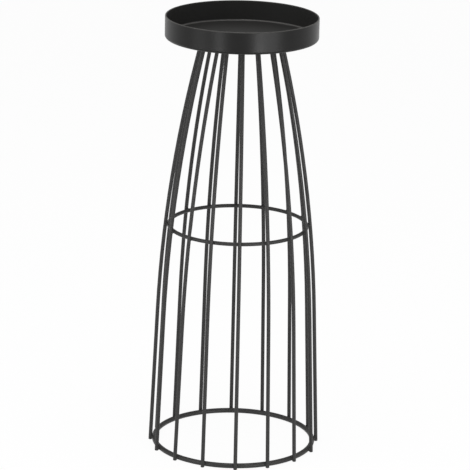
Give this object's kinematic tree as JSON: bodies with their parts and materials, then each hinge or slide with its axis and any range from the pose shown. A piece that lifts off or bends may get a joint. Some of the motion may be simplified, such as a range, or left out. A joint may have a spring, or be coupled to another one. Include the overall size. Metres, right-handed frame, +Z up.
{
  "type": "candle holder",
  "caption": "Tall wire cage candle stand: bent rods on welded rings carry a shallow round tray with an upright rim, all in satin black powder coat.",
  "frame": {"origin": "on the floor, under the middle of the cage, at the level of the rods' cut feet", "axes": "+Z up along the axis of the cage and tray; -Y towards the front rod, rod_01"},
  "size_m": [0.137, 0.137, 0.35],
  "materials": {
    "tray_coat": "satin black powder coat, very fine grain",
    "rod_coat": "satin black powder coat on round wire",
    "ring_coat": "satin black powder coat on round wire",
    "weld_coat": "satin black powder coat over small smooth weld beads"
  },
  "bodies": {
    "root": {"candle_tray": "tray_coat", "bottom_ring": "ring_coat", "mid_ring": "ring_coat", "top_ring": "ring_coat", "rod_01": "rod_coat", "rod_02": "rod_coat", "rod_03": "rod_coat", "rod_04": "rod_coat", "rod_05": "rod_coat", "rod_06": "rod_coat", "rod_07": "rod_coat", "rod_08": "rod_coat", "rod_09": "rod_coat", "rod_10": "rod_coat", "rod_11": "rod_coat", "rod_12": "rod_coat", "rod_13": "rod_coat", "rod_14": "rod_coat", "rod_15": "rod_coat", "rod_16": "rod_coat", "bottom_ring_welds": "weld_coat", "mid_ring_welds": "weld_coat", "top_ring_welds": "weld_coat", "tray_tacks": "weld_coat"}
  },
  "joints": []
}
